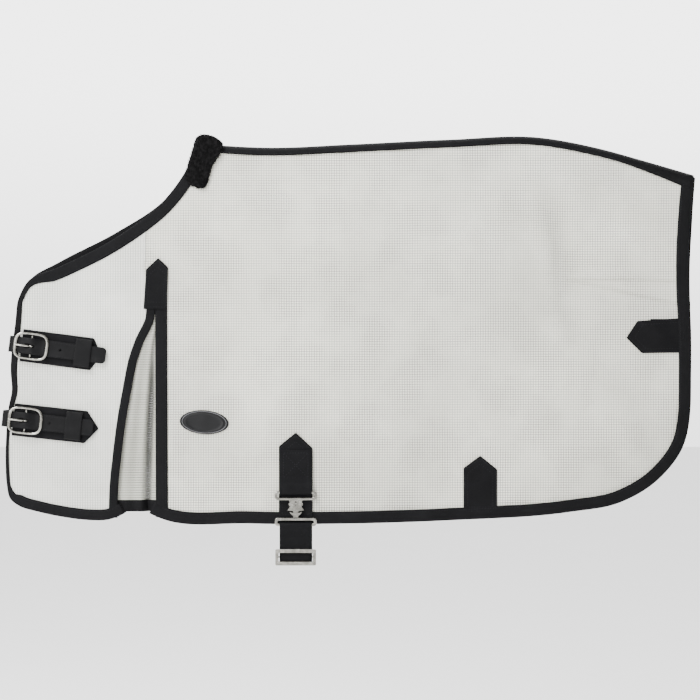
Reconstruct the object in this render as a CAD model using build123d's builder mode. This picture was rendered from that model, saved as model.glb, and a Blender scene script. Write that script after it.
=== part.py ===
# Fly sheet for a small horse, folded in half over its spine and buckled up as it is stored or shown.
# +X runs from the chest to the tail, +Z is up, and the near (left) half is on the -Y side.
# The origin is inside the spine fold at mid length. All sizes are in millimetres.
import os
from math import cos, radians, sin

from build123d import *

os.makedirs("parts", exist_ok=True)

# Cloth layers, each given as a depth outward from the middle plane between the two halves
bindingInside = 12.0
clothInside = 13.0
clothOutside = 14.0
bindingOutside = 15.0
bindingWidth = 19.0
hemTurn = 1.5
foldRadius = 15.0
foldSkirt = 3.0

# Webbing and leather
webbingWidth = 50.0
webbingThick = 1.1
padThick = 1.2
leatherWidth = 25.0
leatherThick = 1.6

# Outline of one half, from the withers along the spine to the tail and back round to the neck
spineLine = [(-236, 3), (-124, -3), (0, 2), (155, 9.5), (291, 13), (388, -4.5), (450, -21.5), (534, -46)]
rearLine = [(534, -46), (528, -110), (525, -195), (529, -307), (529, -415)]
rumpCorner = [(529, -415), (516, -470), (480, -517), (417, -555), (341, -569)]
hemLine = [(341, -569), (155, -582), (0, -587), (-155, -587), (-301, -577)]
gussetRearLine = [(-301, -577), (-302.5, -235)]
gussetFrontLine = [(-302.5, -235), (-319, -307), (-339, -394), (-354, -480), (-360, -578)]
chestHemLine = [(-360, -578), (-403, -580.5), (-465, -573), (-512, -561), (-531, -538)]
chestLine = [(-531, -538), (-535, -450), (-527, -356), (-518, -271), (-516, -245)]
neckLine = [(-516, -245), (-499, -208), (-456, -183), (-361, -133), (-290, -84), (-250, -31), (-236, 3)]
seamX = -319.0

# Surcingle: webbing strap under the belly, closed by a hook and eye on the near side
surcingleX = -84.0
tabTop = -473.0
eyeBarZ = -538.4
hookBarZ = -588.6
hardwareDepth = 19.55
swayEndZ = -641.0
runDepth = 20.55
slideBarZ = -638.6
slideBarDepth = 17.4
farStrapDepth = 16.6

# Rings inside, for leg straps and a fillet string: bar centre of each ring
ringPlaces = {"leg": (202.0, -515.0), "rear": (478.0, -290.0)}
ringDepth = 10.4
ringWire = 1.5
ringWidth = 32.0

nearFace = Plane.XZ  # local x is X, local y is Z, and depth grows toward -Y


def save(builder, name):
    builder.part.label = name
    export_step(builder.part, f"parts/{name}.step")


def savePair(builder, name):
    """Write the near piece and its mirror image on the far side."""
    save(builder, f"near_{name}")
    with BuildPart() as far:
        mirror(builder.part, about=Plane.XZ)
    save(far, f"far_{name}")


def closedOutline(*runs):
    """Flat outline, bounded by runs of points that follow on from each other."""
    with BuildSketch() as sketch:
        with BuildLine():
            for points in runs:
                if len(points) > 2:
                    Spline(*points)
                else:
                    Line(*points)
        make_face()
    return sketch.sketch


def edgeStrip(points, width, reach=bindingWidth):
    """Flat strip along the inside of an edge line, a little proud of it and run on past its ends."""
    edge = Spline(*points) if len(points) > 2 else Line(*points)
    steps = 3 * len(points)
    outer, inner = [], []
    for step in range(steps + 1):
        place, along = edge @ (step / steps), edge % (step / steps)
        run = reach if step == steps else -reach if step == 0 else 0
        inward = along.rotate(Axis.Z, -90)
        outer.append(place + along * run - inward * hemTurn)
        inner.append(place + along * run + inward * width)
    with BuildSketch() as strip:
        with BuildLine():
            Polyline(*outer, *reversed(inner), close=True)
        make_face()
    return strip.sketch


def patch(corners, inside, outside, under=()):
    """Flat cloth patch, trimmed where it meets the pieces in under."""
    with BuildPart() as piece:
        with BuildSketch(nearFace.offset(inside)):
            with BuildLine():
                Polyline(*corners, close=True)
            make_face()
        extrude(amount=outside - inside)
        for other in under:
            add(other.part, mode=Mode.SUBTRACT)
    return piece


# ---- Sheet: two halves of mesh cloth, each a body panel and a chest panel with a gusset between ----


half = closedOutline(spineLine, rearLine, rumpCorner, hemLine, gussetRearLine, gussetFrontLine,
                     chestHemLine, chestLine, neckLine)

# Spine binding: an arch of tape carried along the spine line
with BuildPart() as spineBinding:
    with BuildLine(nearFace) as spinePath:
        Spline(*spineLine)
    with BuildSketch(Plane(origin=spinePath.line @ 0, x_dir=(0, 1, 0), z_dir=spinePath.line % 0)):
        with Locations((0, -foldRadius)):
            Circle(foldRadius)
            Circle(bindingInside, mode=Mode.SUBTRACT)
        with Locations((0, -foldRadius - foldSkirt)):
            Rectangle(4 * foldRadius, 2 * foldRadius, align=(Align.CENTER, Align.MAX), mode=Mode.SUBTRACT)
    sweep()
save(spineBinding, "spine_binding")

# Cloth of one half, set back from its edges so that each tape can fold round it
edgeLines = {
    "neck": [neckLine],
    "chest": [chestLine, chestHemLine],
    "gusset_front": [gussetFrontLine],
    "gusset_rear": [gussetRearLine],
    "hem": [rumpCorner, hemLine],
    "rear": [rearLine],
}
setBacks = [edgeStrip(line, hemTurn, hemTurn) for lines in edgeLines.values() for line in lines]
with BuildSketch() as hanging:
    add(half)
    add(edgeStrip(spineLine, foldRadius + foldSkirt - 0.5), mode=Mode.SUBTRACT)
with BuildPart() as cloth:
    with BuildSketch(nearFace.offset(clothInside)):
        add(hanging.sketch)
        for strip in setBacks:
            add(strip, mode=Mode.SUBTRACT)
    extrude(amount=clothOutside - clothInside)
    add(spineBinding.part, mode=Mode.SUBTRACT)

# Edge bindings: tape folded round the cloth's edge, each cut back where it meets the one before
placed = [spineBinding, cloth]
bindings = {}
for name, lines in edgeLines.items():
    strips = [edgeStrip(line, bindingWidth) for line in lines]
    with BuildPart() as tape:
        with BuildSketch(nearFace.offset(bindingInside)):
            for strip in strips:
                add(strip)
            add(hanging.sketch, mode=Mode.INTERSECT)
        extrude(amount=bindingOutside - bindingInside)
        for other in placed:
            add(other.part, mode=Mode.SUBTRACT)
    bindings[name] = tape
    placed.append(tape)
    savePair(tape, name + "_binding")

# Panels: the cloth is cut in two at the seam that runs down from the neck to the gusset
chestSide = [(-600, 100), (seamX, 100), (seamX, -200), (-302.5, -235), (-302.5, -620), (-600, -620)]
with BuildPart() as chestPanel:
    add(cloth.part)
    with BuildSketch(nearFace.offset(clothInside)):
        Polygon(*chestSide, align=None)
    extrude(amount=clothOutside - clothInside, mode=Mode.INTERSECT)
with BuildPart() as bodyPanel:
    add(cloth.part)
    add(chestPanel.part, mode=Mode.SUBTRACT)
savePair(chestPanel, "chest_panel")
savePair(bodyPanel, "body_panel")

# Gusset: a pleated insert sewn behind the tapes of its slit, with a tape of its own along the foot
gussetFoot, gussetFootTop, gussetThick = -569.0, -551.0, 1.0
gussetCorners = [(-311, -262), (-294, -262), (-292, gussetFoot + 1.2), (-370, gussetFoot + 1.2),
                 (-344, -380)]
gusset = patch(gussetCorners, bindingInside - gussetThick, bindingInside)
savePair(gusset, "gusset")
footCorners = [(-291, gussetFootTop), (-291, gussetFoot), (-371, gussetFoot), (-367, gussetFootTop)]
gussetTape = patch(footCorners, bindingInside - 2.0, bindingInside, under=[gusset])
savePair(gussetTape, "gusset_hem_binding")

# Reinforcing patches sewn on the outside, trimmed to the tapes beside them
patchCorners = {
    "gusset": [(-297, -175.5), (-282, -190), (-284, -255), (-320, -254.5), (-316, -193)],
    "leg": [(202, -482), (228, -503), (228, -572), (176, -572), (176, -501)],
    "rear": [(429, -299), (446, -273), (520, -268), (520, -322), (453, -323)],
}
tapes = list(bindings.values())
for name, corners in patchCorners.items():
    depth = bindingOutside if name == "gusset" else clothOutside
    savePair(patch(corners, depth, depth + 1.0, under=tapes), name + "_patch")

# Withers fleece: a thick pile pad over the front of the fold
fleeceLine = [(-233, 14), (-208, 10), (-198, -1), (-203, -17), (-214, -35), (-219, -54), (-225, -66),
              (-240, -66), (-251, -59), (-254, -42), (-248, -20), (-243, -3)]
fleeceOutside, fleeceInside = 19.0, 15.2
with BuildPart() as fleece:
    with BuildSketch(nearFace):
        with BuildLine():
            Spline(*fleeceLine, periodic=True)
        make_face()
    extrude(amount=fleeceOutside, both=True)
    with BuildSketch(Plane.YZ.offset(-270)):
        with Locations((0, 3 - foldRadius)):
            Circle(fleeceInside)
        Rectangle(2 * fleeceInside, 100, align=(Align.CENTER, Align.MAX))
    extrude(amount=90, mode=Mode.SUBTRACT)
    add(spineBinding.part, mode=Mode.SUBTRACT)
save(fleece, "withers_fleece")

# Badge: a plain oval patch
badgePlace, badgeLength, badgeHeight, badgeTilt = (-226.0, -430.0), 76.0, 37.0, -4.0
with BuildPart() as badge:
    with BuildSketch(nearFace.offset(clothOutside)):
        with Locations(Location((*badgePlace, 0), badgeTilt)):
            Ellipse(badgeLength / 2, badgeHeight / 2)
    extrude(amount=1.2)
save(badge, "badge")

# ---- Rings on the inside, one behind each leg patch and each rear patch ----

loopThick, loopGap, loopWidth = 0.8, 0.3, 24.0
loopRadius = ringWire + loopGap + loopThick / 2
with BuildPart() as ringLoops:
    for ringX, ringZ in ringPlaces.values():
        with BuildSketch(Plane.YZ.offset(ringX - loopWidth / 2)):
            with BuildLine() as wrap:
                Line((-clothInside + loopThick / 2, ringZ + 20), (-ringDepth - loopRadius, ringZ))
                CenterArc((-ringDepth, ringZ), loopRadius, 180, 180)
            trace(line_width=loopThick)
        extrude(amount=loopWidth)
    add(bodyPanel.part, mode=Mode.SUBTRACT)
savePair(ringLoops, "ring_loops")

for name, (ringX, ringZ) in ringPlaces.items():
    with BuildPart() as ring:
        side, corner = ringWidth / 2, 3.0
        with BuildLine(nearFace.offset(ringDepth)) as ringPath:
            Line((ringX - side + corner, ringZ), (ringX + side - corner, ringZ))
            RadiusArc((ringX + side - corner, ringZ), (ringX + side, ringZ - corner), corner)
            Line((ringX + side, ringZ - corner), (ringX + side, ringZ - 8))
            RadiusArc((ringX + side, ringZ - 8), (ringX - side, ringZ - 8), side)
            Line((ringX - side, ringZ - 8), (ringX - side, ringZ - corner))
            RadiusArc((ringX - side, ringZ - corner), (ringX - side + corner, ringZ), corner)
        with BuildSketch(Plane(origin=ringPath.line @ 0, z_dir=ringPath.line % 0)):
            Circle(ringWire)
        sweep()
    savePair(ring, name + "_ring")

# ---- Chest straps: a leather strap sewn to the far half, buckled on the near half ----

frameLength, frameHeight, frameBar, frameThick = 54.0, 42.0, 5.0, 3.0
windowLength, windowHeight = frameLength - 2 * frameBar, frameHeight - 2 * frameBar
frameDepth = 20.5
barDepth, barRadius = 19.0, 1.4
strapDepth, strapHump = 19.4, 22.6
farStrapY = bindingOutside + padThick + leatherThick / 2 + 0.05
keeperLength, keeperHeight = 25.0, 40.0


def chestStrap(name, startX, startZ, tilt, padLength, pointLength, barAt, keeperAt, tailAt, bendAt, holeAt):
    """One closure. Places along it are measured from the pad's front end, which is at startX, startZ."""
    along = Vector(cos(radians(tilt)), 0, -sin(radians(tilt)))
    across = Vector(sin(radians(tilt)), 0, cos(radians(tilt)))
    start = Vector(startX, 0, startZ)
    face = Plane(origin=start, x_dir=along, z_dir=(0, -1, 0))
    section = Plane(origin=start, x_dir=along, z_dir=across)

    # Webbing pad with a pointed end, one on each half
    with BuildPart() as pad:
        with BuildSketch(face.offset(bindingOutside)):
            halfWidth = webbingWidth / 2
            Polygon((0, -halfWidth), (padLength, -halfWidth), (padLength + pointLength, 0),
                    (padLength, halfWidth), (0, halfWidth), align=None)
        extrude(amount=padThick)
    save(pad, f"{name}_pad")
    with BuildPart() as farPad:
        mirror(pad.part, about=Plane.XZ)
    save(farPad, f"{name}_far_pad")

    # Strap: from the far pad round the chest, through the buckle over its bar, and through the keeper
    bend = 6.0
    with BuildPart() as billet:
        with BuildSketch(section):
            with BuildLine():
                Line((75, farStrapY), (bendAt + bend, farStrapY))
                RadiusArc((bendAt + bend, farStrapY), (bendAt, farStrapY - bend), -bend)
                Line((bendAt, farStrapY - bend), (bendAt, bend - strapDepth))
                RadiusArc((bendAt, bend - strapDepth), (bendAt + bend, -strapDepth), -bend)
                Line((bendAt + bend, -strapDepth), (barAt - 19, -strapDepth))
                Spline((barAt - 19, -strapDepth), (barAt, -strapHump), (barAt + 18, -strapDepth),
                       tangents=[(1, 0), (1, 0), (1, 0)])
                Line((barAt + 18, -strapDepth), (tailAt, -strapDepth))
            trace(line_width=leatherThick)
        extrude(amount=leatherWidth / 2, both=True)
        with BuildSketch(face.offset(bindingOutside)):
            with Locations((barAt - 2.5, 0)):
                SlotOverall(17, 5.2)
            with Locations((holeAt, 0)):
                Circle(1.5)
        extrude(amount=20, mode=Mode.SUBTRACT)
    save(billet, f"{name}_billet")

    # Chape: leather folded round the bar and sewn down, slotted for the prong
    chapeRadius = 2.1
    with BuildPart() as chape:
        with BuildSketch(section):
            with BuildLine():
                Line((barAt + 45, -barDepth + chapeRadius), (barAt, -barDepth + chapeRadius))
                CenterArc((barAt, -barDepth), chapeRadius, 90, 180)
                Spline((barAt, -barDepth - chapeRadius), (barAt + 13, -17.95),
                       tangents=[(1, 0), (1, 0)])
                Line((barAt + 13, -17.95), (barAt + 45, -17.95))
            trace(line_width=1.0)
        extrude(amount=leatherWidth / 2, both=True)
        with BuildSketch(face.offset(bindingOutside + padThick)):
            with Locations((barAt, 0)):
                Rectangle(9, 4.6)
        extrude(amount=10, mode=Mode.SUBTRACT)
    save(chape, f"{name}_chape")

    # Buckle: a rounded frame with a pin across its middle, set lower than the frame
    with BuildPart() as buckle:
        with BuildSketch(face.offset(frameDepth)):
            with Locations((barAt, 0)):
                RectangleRounded(frameLength, frameHeight, 9)
                RectangleRounded(windowLength, windowHeight, 5, mode=Mode.SUBTRACT)
        extrude(amount=frameThick)
        fillet(buckle.edges(), radius=0.9)
        with BuildSketch(face.offset(barDepth - barRadius)):
            with GridLocations(0, frameHeight - frameBar, 1, 2), Locations((barAt, 0)):
                Rectangle(frameBar, frameBar - 1)
        extrude(amount=frameDepth + 1 - barDepth + barRadius)
        barEnd = (frameHeight - frameBar) / 2
        with BuildSketch(section.offset(-barEnd)):
            with Locations((barAt, -barDepth)):
                Circle(barRadius)
        extrude(amount=2 * barEnd)
    save(buckle, f"{name}_buckle")

    # Prong: curled round the bar, out through the strap's hole, with its tip on the front of the frame
    with BuildPart() as prong:
        with BuildSketch(section):
            with Locations((barAt, -barDepth)):
                Circle(2.7)
            with BuildLine():
                Polyline((barAt + 1.5, -20.9), (barAt - 2, -25.4), (barAt - 8, -26.2), (barAt - 29, -25.6),
                         (barAt - 29, -23.7), (barAt - 9.5, -23.9), (barAt - 2.4, -19.6), close=True)
            make_face()
            with Locations((barAt, -barDepth)):
                Circle(barRadius + 0.06, mode=Mode.SUBTRACT)
        extrude(amount=1.7, both=True)
    save(prong, f"{name}_prong")

    # Keeper: a flat loop round the strap's tail
    keeperStart = start + along * (keeperAt - keeperLength / 2)
    with BuildPart() as keeper:
        with BuildSketch(Plane(origin=keeperStart, x_dir=(0, 1, 0), z_dir=along)):
            with Locations((-(bindingOutside + padThick + 2.9), 0)):
                RectangleRounded(5.8, keeperHeight, 1.4)
                RectangleRounded(3.8, keeperHeight - 2, 0.6, mode=Mode.SUBTRACT)
        extrude(amount=keeperLength)
    save(keeper, f"{name}_keeper")


chestStrap("upper_strap", startX=-508.9, startZ=-310.4, tilt=7.4, padLength=110, pointLength=14,
           barAt=15.3, keeperAt=96, tailAt=132, bendAt=-19, holeAt=61)
chestStrap("lower_strap", startX=-521.6, startZ=-425.4, tilt=6.2, padLength=113, pointLength=20,
           barAt=18.9, keeperAt=94, tailAt=125, bendAt=-17, holeAt=57)

# ---- Surcingle ----

swayGap = 0.3
halfWebbing = webbingWidth / 2


def webbing(name, draw):
    """Strap of full webbing width from a centre line drawn in the section plane."""
    with BuildPart() as strap:
        with BuildSketch(Plane.YZ.offset(surcingleX)):
            with BuildLine():
                draw()
            trace(line_width=webbingThick)
        extrude(amount=halfWebbing, both=True)
    save(strap, name)
    return strap


# Patch under the tab on each half, sewn down over the hem
patchLine = [(surcingleX, -446), (surcingleX + 26, -470), (surcingleX + 26, -585),
             (surcingleX - 26, -585), (surcingleX - 26, -467)]
savePair(patch(patchLine, bindingOutside, bindingOutside + 1.0), "surcingle_patch")

# Tab: webbing folded round the eye's upper bar and sewn to itself and the patch
tabBack = 16.6
eyeLoop = hardwareDepth - tabBack


def tabRun():
    Line((-tabBack, tabTop), (-tabBack, eyeBarZ))
    CenterArc((-hardwareDepth, eyeBarZ), eyeLoop, 0, -180)
    Spline((-hardwareDepth - eyeLoop, eyeBarZ), (-tabBack - 1.15, eyeBarZ + 22), tangents=[(0, 1), (0, 1)])
    Line((-tabBack - 1.15, eyeBarZ + 22), (-tabBack - 1.15, tabTop))


webbing("near_surcingle_tab", tabRun)

# Eye: a wide ring with a bell-shaped plate below it and a keyhole in the plate
hardwareFace = nearFace.offset(hardwareDepth - 1.6)
ringSpan = 65.0
with BuildPart() as eye:
    with BuildSketch(hardwareFace):
        with Locations((surcingleX, -543.5)):
            RectangleRounded(ringSpan, 14, 5)
            RectangleRounded(ringSpan - 8, 6.4, 2.5, mode=Mode.SUBTRACT)
    extrude(amount=3.2)
    fillet(eye.edges(), radius=0.9)
    with BuildSketch(hardwareFace.offset(0.6)):
        with BuildLine():
            bell = Spline((surcingleX + 12, -549), (surcingleX + 8.6, -557), (surcingleX + 13, -566))
            Polyline(bell @ 1, (surcingleX, -568), (surcingleX - 13, -566))
            otherSide = Spline((surcingleX - 13, -566), (surcingleX - 8.6, -557), (surcingleX - 12, -549))
            Line(otherSide @ 1, bell @ 0)
        make_face()
        with Locations(Location((surcingleX, -555.5, 0), 90)):
            SlotOverall(6.5, 2.8, mode=Mode.SUBTRACT)
    extrude(amount=2.0)
save(eye, "surcingle_eye")

# Hook: a T behind the bell with a curved lip below it, rising from the ring that carries the strap
with BuildPart() as hook:
    with BuildSketch(hardwareFace):
        with Locations((surcingleX, -584.2)):
            RectangleRounded(ringSpan, 13, 5)
            RectangleRounded(ringSpan - 9, 4.6, 2, mode=Mode.SUBTRACT)
    extrude(amount=3.2)
    fillet(hook.edges(), radius=0.9)
    with BuildSketch(nearFace.offset(16.2)):
        with Locations((surcingleX, -567)):
            Rectangle(8, 24)
        with Locations((surcingleX, -557)):
            RectangleRounded(22, 5, 2)
    extrude(amount=2.1)
    with BuildSketch(nearFace.offset(16.2)):
        with BuildLine():
            ThreePointArc((surcingleX - 9.5, -568.6), (surcingleX, -575), (surcingleX + 9.5, -568.6))
            ThreePointArc((surcingleX + 9.5, -568.6), (surcingleX, -570.6), (surcingleX - 9.5, -568.6))
        make_face()
    extrude(amount=4.9)
save(hook, "surcingle_hook")

# Strap on the near side: over the ring's lower bar and down through the slide
hookLoop = 3.1


def nearRun():
    Line((-hardwareDepth + hookLoop, hookBarZ), (-hardwareDepth + hookLoop, hookBarZ - 1))
    CenterArc((-hardwareDepth, hookBarZ), hookLoop, 0, 180)
    Spline((-hardwareDepth - hookLoop, hookBarZ), (-runDepth, hookBarZ - 16), tangents=[(0, -1), (0, -1)])
    Line((-runDepth, hookBarZ - 16), (-runDepth, swayEndZ + swayGap))


webbing("surcingle_strap", nearRun)

# The strap's sewn end: from the back of the ring down to the slide's bar and round it
endWrap = 1.95


def endRun():
    Line((-hardwareDepth + hookLoop, hookBarZ - 1.1), (-slideBarDepth + endWrap, slideBarZ))
    CenterArc((-slideBarDepth, slideBarZ), endWrap, 0, -180)


webbing("surcingle_strap_end", endRun)

# Slide: a flat frame in front of the strap, with a bar behind the strap
slideZ, slideLength, slideHeight = -638.6, 63.0, 25.0
with BuildPart() as slide:
    with BuildSketch(nearFace.offset(runDepth + 0.85)):
        with Locations((surcingleX, slideZ)):
            RectangleRounded(slideLength, slideHeight, 2)
            RectangleRounded(slideLength - 10, 14, 2, mode=Mode.SUBTRACT)
    extrude(amount=2.6)
    with BuildSketch(nearFace.offset(slideBarDepth - 1.2)):
        with Locations((surcingleX, slideZ)):
            with GridLocations(slideLength - 4, 0, 2, 1):
                Rectangle(4, 8)
    extrude(amount=runDepth + 1.2 - slideBarDepth + 1.2)
    with BuildSketch(Plane.YZ.offset(surcingleX)):
        with Locations((-slideBarDepth, slideBarZ)):
            Circle(1.2)
    extrude(amount=slideLength / 2 - 3, both=True)
save(slide, "surcingle_slide")

# Turn: the strap passes under, from the near side to the far side
turnRadius = 8.0
turnStart = swayEndZ - 1
turnFoot = turnStart - turnRadius


def turnRun():
    nearBend, farBend = -runDepth + turnRadius, farStrapDepth - turnRadius
    Line((-runDepth, swayEndZ), (-runDepth, turnStart))
    RadiusArc((-runDepth, turnStart), (nearBend, turnFoot), -turnRadius)
    Line((nearBend, turnFoot), (farBend, turnFoot))
    RadiusArc((farBend, turnFoot), (farStrapDepth, turnStart), -turnRadius)
    Line((farStrapDepth, turnStart), (farStrapDepth, swayEndZ))


webbing("surcingle_turn", turnRun)


# Strap on the far side: a free leg below the hem, and the length sewn to the far patch
def farLegRun():
    Line((farStrapDepth, hookBarZ - swayGap), (farStrapDepth, swayEndZ + swayGap))


def farSewnRun():
    Line((farStrapDepth, tabTop), (farStrapDepth, hookBarZ + swayGap))


webbing("surcingle_far_leg", farLegRun)
webbing("far_surcingle_strap", farSewnRun)
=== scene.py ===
import bpy
import numpy as np
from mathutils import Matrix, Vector


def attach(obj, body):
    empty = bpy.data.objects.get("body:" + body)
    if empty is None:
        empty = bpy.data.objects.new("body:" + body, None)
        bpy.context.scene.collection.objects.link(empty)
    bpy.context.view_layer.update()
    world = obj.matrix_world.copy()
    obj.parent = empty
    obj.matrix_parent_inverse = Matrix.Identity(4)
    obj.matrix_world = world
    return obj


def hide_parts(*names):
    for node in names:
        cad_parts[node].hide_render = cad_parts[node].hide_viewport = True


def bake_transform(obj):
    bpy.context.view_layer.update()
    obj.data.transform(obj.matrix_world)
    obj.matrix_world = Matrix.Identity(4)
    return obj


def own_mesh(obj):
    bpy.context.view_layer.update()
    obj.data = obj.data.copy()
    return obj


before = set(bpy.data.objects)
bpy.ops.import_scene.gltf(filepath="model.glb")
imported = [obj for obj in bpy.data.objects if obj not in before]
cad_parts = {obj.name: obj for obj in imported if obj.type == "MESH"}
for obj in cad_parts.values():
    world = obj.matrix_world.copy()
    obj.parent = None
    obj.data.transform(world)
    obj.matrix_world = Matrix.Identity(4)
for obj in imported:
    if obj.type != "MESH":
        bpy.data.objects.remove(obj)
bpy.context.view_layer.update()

mm = 0.001
near, far = -1.0, 1.0
sideName = {near: "near", far: "far"}


def runOf(line):
    # arc length from the start to each point
    return np.concatenate([[0], np.cumsum(np.linalg.norm(np.diff(line, axis=0), axis=1))])


def unit(vectors):
    return vectors / np.maximum(np.linalg.norm(vectors, axis=-1), 1e-12)[..., None]


def linked(name, data):
    # a new object in the scene
    made = bpy.data.objects.new(name, data)
    bpy.context.scene.collection.objects.link(made)
    return made


def lineThrough(points, count):
    # cubic Hermite through the points, slopes from neighbours, then spaced evenly along its length
    p = np.array(points, float)
    if len(p) == 2:
        return p[0] + (p[1] - p[0]) * np.linspace(0, 1, count)[:, None]
    knots = runOf(p)
    slope = np.diff(p, axis=0) / np.diff(knots)[:, None]
    gaps = np.diff(knots)[:, None]
    m = np.empty_like(p)
    m[1:-1] = (slope[:-1] * gaps[1:] + slope[1:] * gaps[:-1]) / (gaps[1:] + gaps[:-1])
    m[0], m[-1] = 1.5 * slope[0] - 0.5 * m[1], 1.5 * slope[-1] - 0.5 * m[-2]
    t = np.linspace(0, knots[-1], count * 8)
    i = np.clip(np.searchsorted(knots, t, side="right") - 1, 0, len(p) - 2)
    h = knots[i + 1] - knots[i]
    u = ((t - knots[i]) / h)[:, None]
    h = h[:, None]
    fine = ((2 * u**3 - 3 * u**2 + 1) * p[i] + (u**3 - 2 * u**2 + u) * h * m[i]
            + (3 * u**2 - 2 * u**3) * p[i + 1] + (u**3 - u**2) * h * m[i + 1])
    return spaced(fine, count)


def spaced(line, count):
    # the same polyline, resampled at equal steps of arc length
    run = runOf(line)
    want = np.linspace(0, run[-1], count)
    return np.stack([np.interp(want, run, line[:, k]) for k in range(line.shape[1])], axis=1)


def lengthOf(line):
    return float(runOf(line)[-1])


def alongOf(line):
    # unit tangent at each point, by central differences
    return unit(np.gradient(line, axis=0))


def alongLoop(line):
    # the same for a closed line
    return unit(np.roll(line, -1, axis=0) - np.roll(line, 1, axis=0))


def surface(name, grid, uv=None, wrapU=False, wrapV=False, capU=False, flip=False):
    # quads over a grid of points; wrap joins the last row to the first, and capU closes both ends with one face each
    nu, nv = grid.shape[:2]
    i = np.arange(nu if wrapU else nu - 1)
    j = np.arange(nv if wrapV else nv - 1)
    a, b = np.meshgrid(i, j, indexing="ij")
    a, b = a.ravel(), b.ravel()
    corner = [(a, b), (a + 1, b), (a + 1, b + 1), (a, b + 1)]
    faces = np.stack([(p % nu) * nv + (q % nv) for p, q in corner], axis=1)
    faceUv = np.stack([p * (nv + 1) + q for p, q in corner], axis=1)
    if flip:
        faces, faceUv = faces[:, ::-1], faceUv[:, ::-1]
    ring = np.arange(nv)
    caps = [ring, (nu - 1) * nv + ring[::-1]] if capU else []
    mesh = bpy.data.meshes.new(name)
    mesh.from_pydata(grid.reshape(-1, 3).tolist(), [], faces.tolist() + [c.tolist() for c in caps])
    layer = mesh.uv_layers.new(name="cloth")
    if uv is not None:
        full = np.zeros((nu + 1, nv + 1, 2))
        full[:uv.shape[0], :uv.shape[1]] = uv
        flat = np.zeros((len(mesh.loops), 2), np.float32)
        flat[:faces.size] = full.reshape(-1, 2)[faceUv.ravel()]
        layer.data.foreach_set("uv", flat.ravel())
    mesh.polygons.foreach_set("use_smooth", np.ones(len(mesh.polygons), bool))
    mesh.update()
    if (wrapU or capU) and wrapV and enclosed(mesh) < 0:
        mesh.flip_normals()
    return linked(name, mesh)


def enclosed(mesh):
    # signed volume: the sum over fans of each face of corner x corner . corner, a sixth of it
    mesh.calc_loop_triangles()
    tri = np.zeros(len(mesh.loop_triangles) * 3, np.int32)
    mesh.loop_triangles.foreach_get("vertices", tri)
    co = np.zeros(len(mesh.vertices) * 3, np.float32)
    mesh.vertices.foreach_get("co", co)
    a, b, c = (co.reshape(-1, 3)[tri.reshape(-1, 3)[:, k]] for k in range(3))
    middle = co.reshape(-1, 3).mean(axis=0)
    return float(np.einsum("ij,ij->", a - middle, np.cross(b - middle, c - middle)) / 6)


def applied(piece):
    # the mesh that a piece's modifiers give, kept as its own
    made = bpy.data.meshes.new_from_object(piece.evaluated_get(bpy.context.evaluated_depsgraph_get()))
    piece.modifiers.clear()
    piece.data = made
    return made


def joined(name, parts):
    # several pieces become one mesh
    bpy.ops.object.select_all(action="DESELECT")
    for part in parts:
        part.select_set(True)
    bpy.context.view_layer.objects.active = parts[0]
    if len(parts) > 1:
        bpy.ops.object.join()
    parts[0].name = name
    parts[0].data.name = name
    return parts[0]


def roundedBar(width, thick, edge, steps=4):
    # closed section of a strap: a rectangle with rounded selvedges, as (across, outward) pairs
    corner = np.linspace(0, np.pi / 2, steps)
    w, t = width / 2 - edge, thick / 2 - min(edge, thick / 2 - 1e-6)
    edgeT = min(edge, thick / 2 - 1e-6)
    ring = []
    for q, (sx, sy) in enumerate([(1, 1), (-1, 1), (-1, -1), (1, -1)]):
        ang = corner + q * np.pi / 2
        ring.append(np.stack([sx * w + edge * np.cos(ang), sy * t + edgeT * np.sin(ang)], axis=1))
    return np.concatenate(ring)


def ribbon(name, centre, across, width, thick, edge=0.4 * mm, widths=1.0, closed=False):
    # a strap: the rounded section carried along a centre line, flat side square to the line and to across;
    # widths scales the width at each point
    along = alongLoop(centre) if closed else alongOf(centre)
    across = np.broadcast_to(np.array(across, float), centre.shape)
    out = unit(np.cross(across, along))
    ring = densify(roundedBar(width, thick, edge), 10)
    scale = np.broadcast_to(widths, (len(centre),))
    grid = (centre[:, None] + across[:, None] * ring[None, :, :1] * scale[:, None, None]
            + out[:, None] * ring[None, :, 1:])
    run = runOf(centre)
    face = np.append(ring[:, 0], ring[0, 0])
    if closed:
        run = np.append(run, 2 * run[-1] - run[-2])
    uv = np.stack(np.broadcast_arrays(run[:, None], face[None, :]), axis=2)
    return surface(name, grid, uv, wrapU=closed, wrapV=True, capU=not closed)


def densify(ring, steps):
    # more points on the two long faces
    out = []
    for k in range(len(ring)):
        a, b = ring[k], ring[(k + 1) % len(ring)]
        n = steps if np.linalg.norm(b - a) > 0.004 else 1
        out += [a + (b - a) * s / n for s in range(n)]
    return np.array(out)


def tube(name, path, radius, sides=10, closed=False, flatten=1.0, upright=(0, 1, 0)):
    # round wire along a path; flatten squeezes it along upright
    along = alongLoop(path) if closed else alongOf(path)
    up = np.broadcast_to(np.array(upright, float), path.shape)
    side = unit(np.cross(along, up))
    up = np.cross(side, along)
    ang = np.linspace(0, 2 * np.pi, sides, endpoint=False)
    radius = np.broadcast_to(np.asarray(radius, float), (len(path),))[:, None, None]
    grid = path[:, None] + radius * (side[:, None] * np.cos(ang)[None, :, None]
                                     + up[:, None] * flatten * np.sin(ang)[None, :, None])
    return surface(name, grid, None, wrapU=closed, wrapV=True, capU=not closed)


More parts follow.
